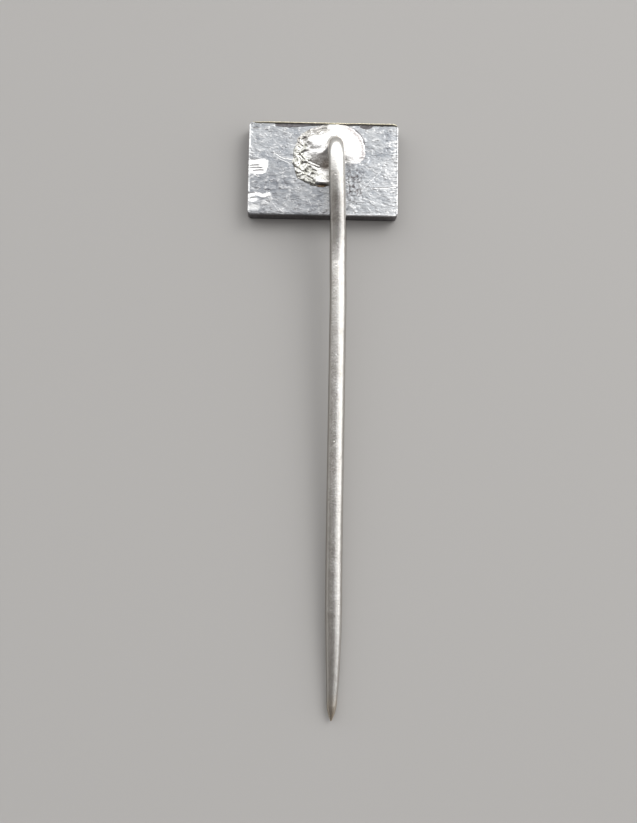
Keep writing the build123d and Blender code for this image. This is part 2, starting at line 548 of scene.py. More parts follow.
# Burnished places: a block and a bar by the left edge, then two smears, each with its centre and radii
BLOCK_RIGHT, BLOCK_TOP, BLOCK_BOTTOM = -4.5, 0.74, -0.47
BAR_RIGHT, BAR_Y = -4.35, -2.2
BLOT = ((-5.5, -2.62), (0.42, 0.2))
SMEAR = ((-5.5, -3.2), (0.55, 0.3))

# Grooves through the burnished block: where each starts and ends in X, and its Y
GROOVES = [(-5.95, -5.0, 0.16), (-5.95, -4.72, -0.03), (-5.7, -4.62, -0.25)]

# Chips behind the lip along the top edge: how far the long one and the corner one reach in at each X, then a
# round bite and the shell-shaped crescents in it
LONG_CHIP = ([-4.05, -3.9, -3.5, -2.3, -0.9, 0.3, 1.9, 2.9], [0, 0.26, 0.38, 0.38, 0.22, 0.16, 0.2, 0.16])
CORNER_CHIP = ([4.9, 5.4, 5.9], [0, 0.1, 0.2])
BITE_X, BITE_HALF_WIDTH, BITE_REACH = 3.38, 0.6, 0.44
SHELL = ((3.35, 3.8), (0.62, 0.44))

# The thin burr that stands along the top edge
LIP_X = (-5.7, 5.86)
LIP_ROWS, LIP_SIDES = 420, 12
LIP_HALF_WIDTH = 0.056
LIP_TALLNESS = 1.9

# Other marks: a dark slit in the top left corner, a mottled patch and a brown spot by the solder
LENS = ((-5.45, 3.3), (0.3, 0.09))
BLOTCH = ((2.45, -1.25), (0.95, 1.7))
BROWN = ((2.1, 0.32), (0.5, 0.4))

DULL_NICKEL = [(0.36, (0.21, 0.225, 0.25)), (0.5, (0.325, 0.338, 0.356)), (0.64, (0.42, 0.43, 0.443))]

# Cutters for the enamel cells: vertices this near the front are pulled out through it
FRONT_ZONE = 0.1
CUTTER_FRONT = -0.2
WELD_DISTANCE = 1e-4


def rounded_grid(half_x, half_y, corner):
    """Grid points over a rectangle whose corners are drawn in to quarter circles."""
    nx, ny = round(2 * half_x / GRID), round(2 * half_y / GRID)
    x, y = np.meshgrid(np.linspace(-half_x, half_x, nx + 1), np.linspace(-half_y, half_y, ny + 1))
    a = np.clip((np.abs(x) - half_x + corner) / corner, 0, 1)
    b = np.clip((np.abs(y) - half_y + corner) / corner, 0, 1)
    inside = (a > 0) & (b > 0)
    cx, cy = half_x - corner, half_y - corner
    x = np.where(inside, np.sign(x) * (cx + corner * a * np.sqrt(1 - b * b / 2)), x)
    y = np.where(inside, np.sign(y) * (cy + corner * b * np.sqrt(1 - a * a / 2)), y)
    return x, y


def border(array):
    """The outside values of a grid, in order round it."""
    return np.concatenate([array[0, :-1], array[:-1, -1], array[-1, :0:-1], array[:0:-1, 0]])


def scratches(x, y):
    """Height and shine of the scratches: each a furrow with a burr along one side."""
    height, shine = np.zeros_like(x), np.zeros_like(x)
    wobble = 0.05 * fractal(x * 1.6, y * 1.6, 3, 3)
    for start, end, width, strength in SCRATCHES:
        off = to_line(x + wobble, y + wobble, start, end)
        furrow = bell(off, width)
        height += strength * (0.012 * bell(off - 1.5 * width, width) - 0.02 * furrow)
        shine = np.maximum(shine, 0.9 * strength * furrow)
    return height, shine


def dashes(x, y):
    """Height and shine of the strewn dashes, some sunk and some raised."""
    height, shine = np.zeros_like(x), np.zeros_like(x)
    random = np.random.default_rng(DASH_SEED)
    for _ in range(DASHES):
        cx, cy = random.uniform(*DASH_FIELD_X), random.uniform(*DASH_FIELD_Y)
        lean = math.radians(random.normal(LEFT_LEAN if cx < DASH_TURN_X else RIGHT_LEAN, LEAN_SPREAD))
        reach, width = random.uniform(*DASH_REACH), random.uniform(*DASH_WIDTH)
        strength = random.uniform(*DASH_STRENGTH)
        near = (np.abs(x - cx) < DASH_NEARBY) & (np.abs(y - cy) < DASH_NEARBY)
        half = reach * np.array([math.cos(lean), math.sin(lean)])
        mark = strength * bell(to_line(x[near], y[near], (cx, cy) - half, (cx, cy) + half), width)
        height[near] += random.choice(DASH_HEIGHTS) * mark
        shine[near] = np.maximum(shine[near], 0.42 * mark)
    return height, shine


def burnished(x, y):
    """Where the back has been rubbed bright, from 0 to 1."""
    ragged = 0.09 * fractal(x * 1.8, y * 1.8, 41, 3)
    right_edge = BLOCK_RIGHT + 0.08 * np.sin((y - 0.1) * 2.4) + ragged
    top_edge = BLOCK_TOP + 0.09 * (x + 5) - 0.16 * smooth(-4.75, -4.5, x)
    block = smooth(0.12, -0.05, x - right_edge) * smooth(-0.05, 0.05, y + ragged - BLOCK_BOTTOM)
    block *= smooth(0.06, -0.06, y - top_edge)
    off_bar = np.abs(y - BAR_Y + 0.05 * np.sin(x * 5) + ragged * 0.6)
    bar = smooth(0.2, 0.0, x - BAR_RIGHT + ragged) * smooth(0.21, 0.1, off_bar)
    blot = smooth(1.2, 0.5, in_oval(x, y, *BLOT) + 2 * ragged)
    smear = 0.6 * smooth(1.3, 0.4, in_oval(x, y, *SMEAR) + 2 * ragged)
    return np.maximum.reduce([block, bar, blot, smear])


def groove_depth(x, y):
    """How deep a point lies in the grooves through the burnished block, from 0 to 1."""
    depth = np.zeros_like(x)
    for start, end, level in GROOVES:
        curve = level + 0.05 * np.sin((x - start) * 2.6) + 0.03 * noise2(x * 1.7, y * 0.5, 48)
        depth = np.maximum(depth, window(x, start, start + 0.1, end - 0.25, end) * bell(y - curve, 0.034))
    return depth


def top_chips(x, y):
    """Depth of the ragged chips behind the lip along the top edge, and of the slot between lip and plate."""
    ragged = 0.07 * fractal(x * 2.5, y * 0.8, 77, 4)
    long_chip = (np.interp(x, *LONG_CHIP) + 0.6 * ragged) * smooth(-4.1, -3.85, x)
    bite = BITE_REACH * np.sqrt(np.clip(1 - ((x - BITE_X) / BITE_HALF_WIDTH) ** 2, 0, 1))
    behind = y - TOP_EDGE + np.maximum.reduce([long_chip, bite, np.interp(x, *CORNER_CHIP)])
    depth = (0.075 * smooth(0.0, 0.05, behind) + 0.01 * smooth(0.04, 0.3, behind)) * smooth(-4.1, -3.8, x)
    shell = in_oval(x, y, *SHELL)
    crescents = (0.035 * bell(shell - 0.62, 0.1) + 0.02 * bell(shell - 0.9, 0.07)) * (bite > 0.05)
    slot = 0.09 * smooth(0.085, 0.035, TOP_EDGE - y) * smooth(-5.75, -5.0, x)
    return np.maximum(depth - crescents, slot)


def streaks(x, y):
    """Thin curved broken ridges all over the back, mostly lying across it, from 0 to 1."""
    total = np.zeros_like(x)
    for seed, lean, scale in ((101, -0.32, 0.75), (131, -0.1, 1.0), (161, 0.18, 1.35)):
        u = (x * math.cos(lean) + y * math.sin(lean)) * scale
        v = (y * math.cos(lean) - x * math.sin(lean)) * scale * 2.2
        line = bell(fractal(u, v, seed, 3), 0.07 * scale + 0.02)
        broken = smooth(0.12, 0.5, noise2(u * 1.9 + 5, v * 1.1, seed + 7))
        total = np.maximum(total, line * broken)
    return total


def teeth(x, y):
    """Height and shine of the fine ripples that the trimming left along the right edge."""
    uneven = fractal(x * 0.5, y * 1.3, 61, 3)
    phase, reach = y * 19 + 7 * uneven, x + 0.5 * uneven
    height = 0.009 * np.sin(phase) * smooth(4.9, 5.85, reach) * window(y, -3.6, -2.6, 3.0, 3.4)
    return height, 0.7 * smooth(0.2, 0.9, np.sin(phase + 0.6)) * smooth(5.1, 5.9, reach)


def grain(x, y, blotted):
    """Height of the back's skin: an orange peel and curled grit, which is coarser on the blotch."""
    peel = 0.01 * fractal(x * 1.0 + y * 0.35, y * 1.7 + x * 0.5, 6, 3)
    curls = 1 - np.abs(fractal(x * 2.3 + 0.4 * noise2(x, y, 4), y * 3.0 + 0.5 * noise2(y, x, 14), 16, 2))
    grit = 0.011 * (curls - 0.6) * (0.3 + 0.7 * smooth(-2.0, 2.5, x))
    return peel + grit * (1 + 2.0 * blotted)


def solder_edge_shadow(x, y):
    """A painted shadow: the dark line where the plate meets the solder's upper right edge, from 0 to 1."""
    _, _, distance, bearing = from_foot(x, y)
    return bell(distance - solder_reach(bearing) - 0.03, 0.055) * window(bearing, 2, 22, 46, 60)


def plate_back(x, y):
    """Height, shine and darkness of the plate's back."""
    side, top, bottom = FIELD_X + BACK_ROUND - np.abs(x), TOP_EDGE - y, TOP_EDGE + y
    worn_left = smooth(1.0, -0.5, x)
    ragged = 0.75 + 0.6 * fractal(x * 1.7, y * 1.7, 21, 3)
    blotted = smooth(1.15, 0.35, in_oval(x, y, *BLOTCH) + 0.3 * noise2(x * 1.3, y * 1.3, 93))
    lens = smooth(1.1, 0.6, in_oval(x, y - 0.1 * (x - LENS[0][0]), *LENS))
    rubbed, chips, grooves = burnished(x, y), top_chips(x, y), groove_depth(x, y)
    ridges, dents = streaks(x, y), streaks(x * 0.9 + 40, y * 0.9 + 7)
    scratch_height, scratch_shine = scratches(x, y)
    dash_height, dash_shine = dashes(x, y)
    tooth_height, tooth_shine = teeth(x, y)

    skin = grain(x, y, blotted) + 0.014 * ridges - 0.015 * dents + scratch_height + dash_height
    waves = 0.02 * fractal(x * 0.45, y * 0.45, 2, 2)
    burr = 0.03 * bell(side - 0.07, 0.05) + 0.024 * (1 - 0.8 * worn_left) * bell(bottom - 0.09, 0.05)
    roll = 0.03 * worn_left * smooth(0.25, 0.0, bottom) + 0.02 * smooth(0.9, 0.2, np.hypot(x + 6, y + 3.8))
    rough = 1 - 0.8 * rubbed
    height = waves + skin * rough + burr * ragged + tooth_height - roll - chips
    height += 0.03 * rubbed * (x + 4.9) - 0.03 * grooves - 0.02 * lens

    # painted shade: the chipped recesses behind the lip are darkened in their colour and lose their shine
    chip_shade = smooth(0.012, 0.05, chips)
    speckle = blotted * smooth(0.12, 0.34, fractal(x * 3.9, y * 3.9, 91, 3))
    edge_shine = 0.9 * smooth(0.13, 0.05, np.minimum(side, bottom + 0.1 * worn_left)) * (chips < 0.02)
    edge_shine *= np.clip(ragged, np.where(x < 0, 0.75, 0.4), 1)
    dull_shine = (1 - rubbed) * np.maximum.reduce([scratch_shine, dash_shine, 0.5 * ridges])
    shine = np.maximum.reduce([dull_shine, rubbed * (1 - grooves), edge_shine, tooth_shine])

    # painted shade: the lower left of the back, towards the wire, is darkened in its colour
    low = 0.17 * smooth(0.4, -2.8, y + 0.25 * x) * smooth(3.0, -1.5, x)
    # The darkness below holds real stains and also painted shade: the chips, the band under the lip, the
    # lower left and the solder's shadow line
    stain = np.maximum.reduce([
        0.95 * chip_shade,
        # painted shadow of the lip: a dark band along the top edge, in the slot behind it
        smooth(0.12, 0.06, top) * smooth(-5.75, -5.2, x),
        0.95 * speckle,
        0.4 * smooth(1.2, 0.3, in_oval(x, y, *BROWN)),
        (0.35 * dents + low) * rough,
        0.2 * smooth(0.2, 0.05, bottom) * worn_left,
        0.75 * grooves,
        0.6 * lens,
        # painted shadow where the solder's upper right edge meets the plate
        0.9 * solder_edge_shadow(x, y),
    ])
    return height, shine * (1 - chip_shade) * (1 - 0.6 * speckle), np.clip(stain, 0, 1)


def make_lip():
    """The thin burr along the plate's top edge, as an object in metres."""
    x = np.linspace(*LIP_X, LIP_ROWS)
    thin = 0.45 + 0.55 * window(x, -6, -4.2, 5.6, 6.3)
    y = TOP_EDGE + 0.012 + 0.014 * fractal(x * 0.8, np.full_like(x, 3), 201, 3) - 0.1 * smooth(5.55, 5.9, x)
    z = BACK - 0.03 + 0.02 * fractal(x * 1.3, np.full_like(x, 8), 207, 3)
    angle = np.linspace(0, 2 * math.pi, LIP_SIDES, endpoint=False)[None]
    half = ((LIP_HALF_WIDTH + 0.01 * fractal(x * 3, np.zeros_like(x), 211, 3)) * thin)[:, None]
    points = np.stack([np.broadcast_to(x[:, None], (len(x), LIP_SIDES)),
                       y[:, None] + half * np.cos(angle),
                       z[:, None] + LIP_TALLNESS * half * np.sin(angle)], -1)
    lip = ringed_object("lip", points, points[0].mean(0), points[-1].mean(0))
    for name, value in (("shine", 1), ("stain", 0), ("warm", 1)):
        set_attribute(lip.data, name, np.full(len(lip.data.vertices), value))
    return lip


def outward_of(bx, by):
    """The direction straight out from the plate at each point of its border."""
    flat_x, flat_y = FIELD_X - CORNER + BACK_ROUND, FIELD_Y - CORNER + BACK_ROUND
    out = np.stack([bx - np.clip(bx, -flat_x, flat_x), by - np.clip(by, -flat_y, flat_y)], -1)
    on_side = (np.abs(by) < FIELD_Y - 1e-6) & (np.abs(out[:, 1]) < 1e-9)
    on_end = (np.abs(out[:, 0]) < 1e-9) & ~on_side
    out[on_side] = np.stack([np.sign(bx[on_side]), np.zeros(on_side.sum())], -1)
    out[on_end] = np.stack([np.zeros(on_end.sum()), np.sign(by[on_end])], -1)
    return unit(out)


def drag_depth(run, z):
    """How deep the trimming tool's drag marks cut into the walls, by place round the plate and height."""
    fine = 0.01 * fractal(run * 2.6, z * 0.8, 33, 3)
    deep = 0.02 * smooth(0.1, 0.6, fractal(run * 1.2, z * 2.5, 37, 3)) * smooth(0.9, 0.3, z)
    return 0.01 + np.abs(fine + deep)


def wall_rings(bx, by, bz, edge_shine):
    """The rings from the back's edge down to the front: points, shine, and stain with painted shade, of each.
    """
    out = outward_of(bx, by)
    run = np.concatenate([[0], np.cumsum(np.hypot(np.diff(bx), np.diff(by)))])
    unstained = np.zeros_like(bz)
    rings = []

    def add_ring(reach, z, shine, stain):
        rings.append((np.stack([bx + out[:, 0] * reach, by + out[:, 1] * reach, z], -1), shine, stain))

    for angle in np.radians(BACK_ROUND_ANGLES):
        z = bz - BACK_ROUND * (1 - math.cos(angle))
        add_ring(BACK_ROUND * math.sin(angle), z, 0.5 * edge_shine, unstained)
    for level in np.linspace(WALL_TOP, FRONT_ROUND, WALL_ROWS):
        z = np.full_like(bz, level)
        reach = BACK_ROUND + (BACK - level) * DRAFT - drag_depth(run, z)
        # painted shade: the walls below the back's edge are darkened in their colour
        add_ring(reach, z, 0.25 * smooth(0.3, 0.8, noise2(run * 9, z, 51) + 0.4), smooth(BACK, BACK - 0.3, z))
    for angle in np.radians(FRONT_ROUND_ANGLES):
        reach = BACK_ROUND + (BACK - FRONT_ROUND) * DRAFT - FRONT_ROUND * (1 - math.cos(angle))
        z = np.full_like(bz, FRONT_ROUND * (1 - math.sin(angle)))
        add_ring(reach, z, 0.5 * edge_shine, unstained)
    return rings


def make_plate():
    """The struck plate: a marked back, dragged walls, a front with its enamel cells cut out, and the lip."""
    x, y = rounded_grid(FIELD_X, FIELD_Y, CORNER - BACK_ROUND)
    height, shine, stain = plate_back(x, y)
    z = BACK + height
    index = np.arange(x.size).reshape(x.shape)
    faces = [np.stack([index[:-1, :-1], index[:-1, 1:], index[1:, 1:], index[1:, :-1]], -1).reshape(-1, 4)]
    points, shines, stains_and_shade = [np.stack([x, y, z], -1).reshape(-1, 3)], [shine.ravel()], [stain.ravel()]
    last, count = border(index), x.size
    for ring_points, ring_shine, ring_stain_and_shade in wall_rings(border(x), border(y), border(z), border(shine)):
        points.append(ring_points)
        shines.append(ring_shine)
        stains_and_shade.append(ring_stain_and_shade)
        ring = count + np.arange(len(last))
        faces.append(np.stack([last, ring, np.roll(ring, -1), np.roll(last, -1)], -1))
        last, count = ring, count + len(last)

    mesh = bpy.data.meshes.new("plate")
    mesh.from_pydata(np.vstack(points).tolist(), [], np.vstack(faces).tolist() + [last[::-1].tolist()])
    set_attribute(mesh, "shine", np.concatenate(shines))
    set_attribute(mesh, "stain", np.concatenate(stains_and_shade))
    plate = new_object("badge_plate_struck", mesh)
    for node in ENAMELS:
        cut_cell(plate, node)
    plate.data.transform(Matrix.Scale(MM, 4))
    with bpy.context.temp_override(active_object=plate, selected_editable_objects=[plate, make_lip()]):
        bpy.ops.object.join()
    shade_smooth(plate.data)
    plate.data.set_sharp_from_angle(angle=math.radians(SHARP_ANGLE))
    finish_piece(plate, "plate", plate_material(), "badge_plate")


def cut_cell(plate, node):
    """Cuts the recess for one enamel fill into the plate's front, in millimetres."""
    cutter = cad_copy(node, "cutter")
    for vertex in cutter.data.vertices:
        if vertex.co.z < FRONT_ZONE:
            vertex.co.z = CUTTER_FRONT
    weld = cutter.modifiers.new("weld", "WELD")
    weld.merge_threshold = WELD_DISTANCE
    cut = plate.modifiers.new("cut", "BOOLEAN")
    cut.operation = "DIFFERENCE"
    cut.solver = "EXACT"
    cut.object = cutter
    result = modified_mesh(plate)
    plate.modifiers.clear()
    plate.data = result
    bpy.data.objects.remove(cutter)


def plate_material():
    """Dull mottled nickel, bright where it is rubbed, and dark where it is stained or where shade is painted
    in.
    """
    m = Shader("plate_nickel")
    shine, stain = m.attribute("shine"), m.attribute("stain")
    mottle = m.noise(m.stretched((0.85, 1.1, 0.9)), detail=5, roughness=0.62, distortion=0.6)
    fleck = m.noise(m.stretched((1.5, 3.4, 3), 14), detail=5, distortion=0.4)
    fine = m.noise(m.stretched((6, 11, 9), -12))
    broad = m.noise(m.stretched((0.28, 0.34, 0.3)), roughness=0.5, distortion=0.5)
    tone = m.plus(m.times(mottle, 0.6), m.times(broad, 0.4))
    flecked = m.mix(m.between(fleck, 0.52, 0.68, 0.0, 0.45), m.ramp(tone, DULL_NICKEL), (0.52, 0.525, 0.535))
    bright = m.mix(shine, flecked, (0.92, 0.915, 0.905))
    warmed = m.mix(m.attribute("warm"), bright, (0.92, 0.86, 0.66))
    # this darkening carries real stains and painted shade alike
    stained_and_shaded = m.mix(m.times(stain, 0.8), warmed, (0.085, 0.07, 0.072))
    rough = m.plus(m.between(tone, 0.3, 0.7, 0.28, 0.4), m.times(stain, 0.12))
    m.set(Base_Color=stained_and_shaded, Metallic=1.0, Roughness=m.maths("SUBTRACT", rough, m.times(shine, 0.12)))
    m.bump(m.plus(m.times(fleck, 1.0), m.times(fine, 0.35)), 0.032)
    return m.material


# ---- the solder

# The solder's outline: its reach from the foot in millimetres at each bearing, in degrees from +X towards +Y
OUTLINE = [
    (0, 2.38), (30, 2.4), (60, 2.3), (90, 2.2), (120, 2.35), (140, 2.75), (160, 3.1), (180, 3.35), (197, 3.6),
    (210, 3.75), (225, 3.7), (240, 3.4), (255, 3.05), (268, 2.65), (280, 2.2), (292, 1.7), (306, 1.25),
    (318, 1.3), (330, 2.1), (345, 2.38), (360, 2.38),
]
OUTLINE_BLUR = 8.0
CONE_TOP = 0.62

# The mesh: points round each ring, the innermost ring's reach, and the rings below the edge, sunk in the
# plate, each with its share of the reach and its depth
SOLDER_SIDES = 330
INNER_REACH = 0.45
SOLDER_DEPTH = 0.12
UNDERSIDE = [(1.0, 0.04), (0.9, SOLDER_DEPTH), (0.3, SOLDER_DEPTH)]

# Stretches of the solder by bearing: where each starts, is full, starts to fade and ends
WRINKLED = (132, 165, 258, 280)
THIN_EDGE = (285, 310, 340, 360)
SHALLOW = (178, 212, 262, 300)
FOLDED = (92, 112, 162, 182)
ROUGH_OUTLINE = (130, 170, 250, 280)
GREY_CRUMPLED = (150, 175, 262, 285)
GREY_FOLDED = (98, 116, 165, 185)
GREY_BELOW = (262, 285, 312, 330)

# The same for stretches that lie across bearing 0, after turning all bearings by the first number
HOLLOW_TURN, HOLLOW = 90, (0, 40, 60, 150)
RIPPLED_TURN, RIPPLED = 40, (8, 28, 80, 102)
RIM_TURN, RIM = 60, (20, 50, 128, 145)

# Marks in the solder, as offsets from the foot: a lump, the brown pit below it and a scratch on the grey face
LUMP, LUMP_RADII, LUMP_SLOPE = (-0.94, -2.5), (0.72, 0.5), 0.1
PIT = ((-0.95, -2.98), (0.62, 0.26))
GOUGE = ((-1.15, 0.42), (-0.35, 0.12))

# Brown flux: centre, radii, where it starts and is full in the oval, and strength
FLUX_SPOTS = [
    ((-0.95, -3.0), (0.72, 0.28), 1.2, 0.5, 1.0),
    ((-0.75, -1.25), (0.5, 0.5), 1.3, 0.3, 0.6),
    ((-1.3, -1.0), (0.8, 0.6), 1.2, 0.3, 0.12),
]

TIN = [(0.3, (0.84, 0.83, 0.81)), (0.6, (0.94, 0.93, 0.92))]
GREY_TIN = [
    (0.36, (0.32, 0.315, 0.27)),
    (0.48, (0.43, 0.43, 0.385)),
    (0.58, (0.64, 0.63, 0.61)),
    (0.66, (0.9, 0.9, 0.88)),
]
PINK_TIN = [(0.4, (0.36, 0.33, 0.325)), (0.62, (0.6, 0.575, 0.57))]


def solder_reach(bearing):
    """The outline's distance from the foot at each bearing in degrees, with its corners softened."""
    bearings, reaches = np.array(OUTLINE).T
    total, weights = np.zeros_like(bearing), np.zeros_like(bearing)
    for shift in np.linspace(-1.5, 1.5, 7):
        weight = math.exp(-shift * shift)
        total += weight * np.interp((bearing + shift * OUTLINE_BLUR) % 360, bearings, reaches)
        weights += weight
    return total / weights


def to_outline(x, y, edge):
    """Distance from each point to the closed line through the edge points."""
    nearest = np.full_like(x, np.inf)
    for a, b in zip(edge, np.roll(edge, -1, axis=0)):
        nearest = np.minimum(nearest, to_line(x, y, a, b))
    return nearest


def solder_body(x, y):
    """Height of the main shapes: the cone up the wire, the tongue left of it and the mound under both."""
    dx, dy, r, bearing = from_foot(x, y)
    shallow = window(bearing, *SHALLOW)
    height = (CONE_TOP - 0.06) * (1 - 0.6 * shallow)
    cone = height * np.exp(-np.clip(r - WIRE_RADIUS, 0, None) / (0.2 + 0.55 * shallow))
    wx, wy = dx + 0.14 * fractal(x * 1.2, y * 1.2, 55, 3), dy + 0.12 * fractal(x * 1.4, y * 1.4, 57, 3)
    slide = np.clip((wy + 1.45) / 2.15, 0, 1)
    tongue = np.where(wy > 0.7, bell(wy - 0.7, 0.8), (slide - 0.15 * slide**4) / 0.85)
    tongue *= 0.37 * window(wx, -2.65, -1.75, -0.1, 0.7)
    hollow = window((bearing + HOLLOW_TURN) % 360, *HOLLOW)
    mound = 0.1 * smooth(2.3, 0.9, r) * (1 - 0.6 * hollow)
    return cone + tongue + mound


def solder_skin(bearing, to_edge):
    """Height of the solder's thin outer skin, which rounds over at the edge."""
    wrinkled, thin = window(bearing, *WRINKLED), window(bearing, *THIN_EDGE)
    rounding = np.clip(to_edge / (0.17 + 0.12 * wrinkled + 0.5 * thin), 0, 1)
    return (0.05 + 0.05 * wrinkled - 0.02 * thin) * np.sqrt(1 - (1 - rounding) ** 2)


def lump_distance(dx, dy, slope=0.0):
    """How far out a point lies in the lump's oval, whose middle line may slope."""
    below = dy - LUMP[1] + slope * (dx - LUMP[0])
    return np.hypot((dx - LUMP[0]) / LUMP_RADII[0], below / LUMP_RADII[1]), below


def wrinkles(x, y, to_edge):
    """Height of the crumpled left side, outside the smooth cone and clear of the lump."""
    dx, dy, r, bearing = from_foot(x, y)
    warp_x, warp_y = 0.3 * noise2(x * 1.6, y * 1.6, 9), 0.3 * noise2(x * 1.6, y * 1.6, 10)
    crumple = 1 - np.abs(fractal((x + warp_x) * 1.6 + 0.5 * y, (y + warp_y) * 1.95, 19, 2, 0.45))
    pebbles = 1 - np.abs(noise2((x + warp_y) * 3.0, (y + warp_x) * 3.0, 37))
    knots = fractal(x * 3.1, y * 3.1, 24, 2)
    start = 2.25 + 0.3 * noise2(x * 1.5, y * 1.5, 12)
    off_lump = lump_distance(dx, dy, LUMP_SLOPE)[0] + 0.12 * fractal(x * 2.2, y * 2.2, 27, 2)
    rough = window(bearing, *WRINKLED) * smooth(start - 0.2, start + 0.3, r)
    rough *= smooth(0.0, 0.14, to_edge) * smooth(0.7, 1.15, off_lump)
    return rough * (0.12 * (crumple**2 - 0.5) + 0.04 * (pebbles - 0.6) + 0.03 * knots)


def folds(x, y, bearing, to_edge):
    """Height of the thin folds along the upper left edge and of the faint ripples along the right one."""
    folding = window(bearing, *FOLDED) * window(to_edge, 0.0, 0.1, 0.5, 0.85)
    crease = 1 - np.abs(np.sin(to_edge / 0.085 + 2.2 * fractal(x * 1.3, y * 1.3, 23, 2)))
    rippling = window((bearing + RIPPLED_TURN) % 360, *RIPPLED) * window(to_edge, 0.0, 0.1, 0.25, 0.5)
    ripple = np.sin(np.radians(bearing) * 26 + 3 * fractal(x * 2, y * 2, 62, 2))
    return 0.075 * folding * (crease - 0.5) + 0.006 * rippling * ripple


def solder_marks(x, y, to_edge):
    """Height of the lump, the pit below it and the scratch."""
    dx, dy, _, _ = from_foot(x, y)
    below = lump_distance(dx, dy, LUMP_SLOPE)[1]
    lump = 0.27 * window(below, -0.42, -0.2, -0.12, 0.62) * smooth(1.25, 0.75, np.abs(dx - LUMP[0]) / 0.62)
    pit = 0.1 * smooth(1.1, 0.3, in_oval(dx, dy, *PIT)) * smooth(0, 0.2, to_edge)
    off = to_line(x, y, *GOUGE)
    return lump - pit + 0.035 * bell(off, 0.045) - 0.03 * bell(off - 0.09, 0.05)


def solder_height(x, y, to_edge):
    """Height above the plate's back at points x, y, which lie to_edge inside the outline."""
    bearing = from_foot(x, y)[3]
    flow = 0.008 * fractal(x * 1.4, y * 1.4, 29, 2) * smooth(0, 0.3, to_edge)
    body = solder_body(x, y) * smooth(0.0, 0.6, to_edge) + solder_skin(bearing, to_edge) + flow
    return body + wrinkles(x, y, to_edge) + folds(x, y, bearing, to_edge) + solder_marks(x, y, to_edge)


def dullness(x, y, to_edge):
    """Where the solder's skin is grey, and where it is a dull pink rim along the edge, each from 0 to 1."""
    dx, dy, r, bearing = from_foot(x, y)
    drift = 0.25 * noise2(x * 1.6, y * 1.6, 83)
    crumpled = window(bearing, *GREY_CRUMPLED) * smooth(2.0, 2.5, r + drift)
    crumpled *= smooth(0.75, 1.15, lump_distance(dx, dy)[0])
    folded = window(bearing, *GREY_FOLDED) * smooth(0.8, 0.45, to_edge + drift)
    rim = window((bearing + RIM_TURN) % 360, *RIM) * smooth(0.62, 0.2, to_edge + 0.5 * drift)
    grey = np.maximum.reduce([crumpled, folded, 0.4 * window(bearing, *GREY_BELOW)])
    return grey, np.maximum(rim, 0.45 * folded)


def make_solder():
    """The solder as rings round the wire's foot, closed by an underside that is sunk into the plate."""
    angle = np.linspace(0, 2 * math.pi, SOLDER_SIDES, endpoint=False)
    bearing = np.degrees(angle)
    raggedness = 0.05 * (1 + 1.6 * window(bearing, *ROUGH_OUTLINE))
    reach = solder_reach(bearing) + raggedness * fractal(np.cos(angle) * 4, np.sin(angle) * 4, 45, 3)

    def ring(share):
        r = INNER_REACH + share * (reach - INNER_REACH)
        return FOOT[0] + r * np.cos(angle), FOOT[1] + r * np.sin(angle)

    shares = np.concatenate([np.linspace(0.0, 0.9, 78), 1 - 0.1 * (1 - np.linspace(0, 1, 16)[1:]) ** 1.6])
    x, y = ring(shares[:, None])
    to_edge = to_outline(x, y, np.stack([x[-1], y[-1]], -1))
    rings = [np.stack([x, y, BACK + solder_height(x, y, to_edge)], -1)]
    for share, depth in UNDERSIDE:
        rings.append(np.stack([*ring(share), np.full_like(reach, BACK - depth)], -1)[None])
    rings = np.concatenate(rings)
    obj = ringed_object("solder_flowed", rings, FOOT + (0, 0, CONE_TOP), FOOT - (0, 0, SOLDER_DEPTH))

    co = coordinates(obj.data) / MM
    dx, dy, _, _ = from_foot(co[:, 0], co[:, 1])
    flux = [strength * smooth(start, full, in_oval(dx, dy, centre, radii))
            for centre, radii, start, full, strength in FLUX_SPOTS]
    set_attribute(obj.data, "flux", np.maximum.reduce(flux))
    hidden = np.zeros(len(co) - x.size)
    for name, values in zip(("dull", "rim"), dullness(x, y, to_edge)):
        set_attribute(obj.data, name, np.concatenate([values.ravel(), hidden]))
    finish_piece(obj, "solder", solder_material(), "solder_joint")


def solder_material():
    """Bright tin, grey and blotched where it is crumpled, pinkish at the rim, and brown under burnt flux."""
    m = Shader("solder_tin")
    broad = m.noise(m.stretched((0.8, 0.8, 0.8)), roughness=0.5)
    fine = m.noise(m.stretched((7, 7, 7)), detail=4)
    blotch = m.noise(m.stretched((3.6, 3.6, 3.6)), detail=4, distortion=0.8)
    greyed = m.mix(m.times(m.attribute("dull"), 0.85), m.ramp(broad, TIN), m.ramp(blotch, GREY_TIN))
    rimmed = m.mix(m.times(m.attribute("rim"), 0.9), greyed, m.ramp(fine, PINK_TIN))
    browned = m.mix(m.attribute("flux"), rimmed, (0.24, 0.17, 0.11))
    m.set(Base_Color=browned, Metallic=1.0, Roughness=m.between(fine, 0.3, 0.75, 0.17, 0.32))
    m.bump(fine, 0.02, 0.8)
    return m.material


# ---- the enamel

ENAMELS = {
    "enamel_band": ("enamel_ivory", (0.8, 0.74, 0.58)),
    "enamel_stripe_left": ("enamel_red", (0.46, 0.025, 0.035)),
    "enamel_stripe_right": ("enamel_red", (0.46, 0.025, 0.035)),
    "enamel_corner_left": ("enamel_blue", (0.018, 0.05, 0.24)),
    "enamel_corner_right": ("enamel_blue", (0.018, 0.05, 0.24)),
}
ENAMEL_VOXEL = 0.08
ENAMEL_FRONT_ZONE = 0.12
ENAMEL_SETBACK = 0.012
ENAMEL_SINK = 0.012
ENAMEL_WAVES = 0.003


